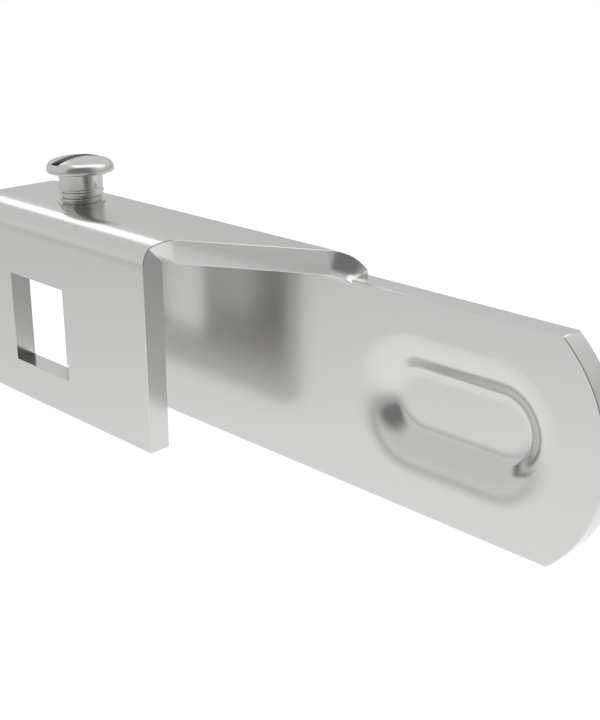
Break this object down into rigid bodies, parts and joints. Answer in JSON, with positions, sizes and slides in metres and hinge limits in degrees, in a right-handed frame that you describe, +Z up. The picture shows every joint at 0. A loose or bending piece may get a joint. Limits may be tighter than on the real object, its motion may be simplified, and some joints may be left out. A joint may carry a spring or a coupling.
{
  "type": "cam latch",
  "caption": "Folded stainless cam with a U-shaped seat for a square spindle, a slotted clamp screw and a long blade with a round tip and a pressed oval.",
  "frame": {"origin": "on the axis of the square spindle hole, in the outer face of the front cheek", "axes": "+X along the blade to its round tip, +Y along the spindle from the front cheek to the rear wall, +Z up to the clamp screw"},
  "size_m": [0.0628, 0.0125, 0.0234],
  "materials": {
    "plate_steel": "satin",
    "screw_steel": "polished"
  },
  "bodies": {
    "plate": {"cam_plate": "plate_steel"},
    "screw": {"clamp_screw": "screw_steel"}
  },
  "joints": [
    {"name": "clamp_screw_travel", "type": "slide", "parent": "plate", "child": "screw", "axis": [0, 0, 1], "range_m": [-0.00095, 0.004]}
  ]
}
